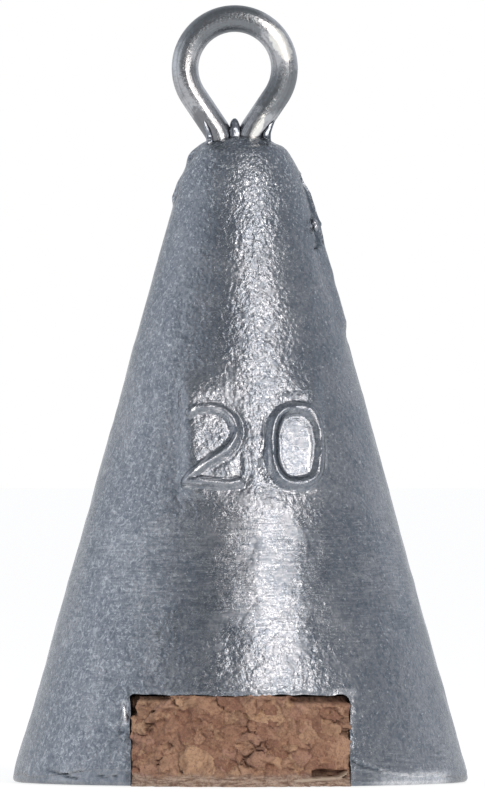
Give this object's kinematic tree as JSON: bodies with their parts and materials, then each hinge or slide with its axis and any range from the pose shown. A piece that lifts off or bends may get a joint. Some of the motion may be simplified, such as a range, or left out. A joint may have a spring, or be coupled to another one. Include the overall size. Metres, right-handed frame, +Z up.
{
  "type": "fishing plummet",
  "caption": "Cast lead cone for sounding the depth of water, with a wire eye in its crown and a cork strip in its base that holds the hook.",
  "frame": {"origin": "centre of the round base, on the face it stands on", "axes": "+Z up along the cone's axis towards the wire eye, -Y the side with the raised number, +X to the right in the picture; the wire loop lies in the XZ plane and the cork strip runs along Y"},
  "size_m": [0.0166, 0.0164, 0.0284],
  "materials": {
    "lead": "satin",
    "cork": "matte",
    "steel_wire": "satin"
  },
  "bodies": {
    "root": {"lead_cone": "lead", "cork_strip": "cork", "wire_eye": "steel_wire"}
  },
  "joints": []
}
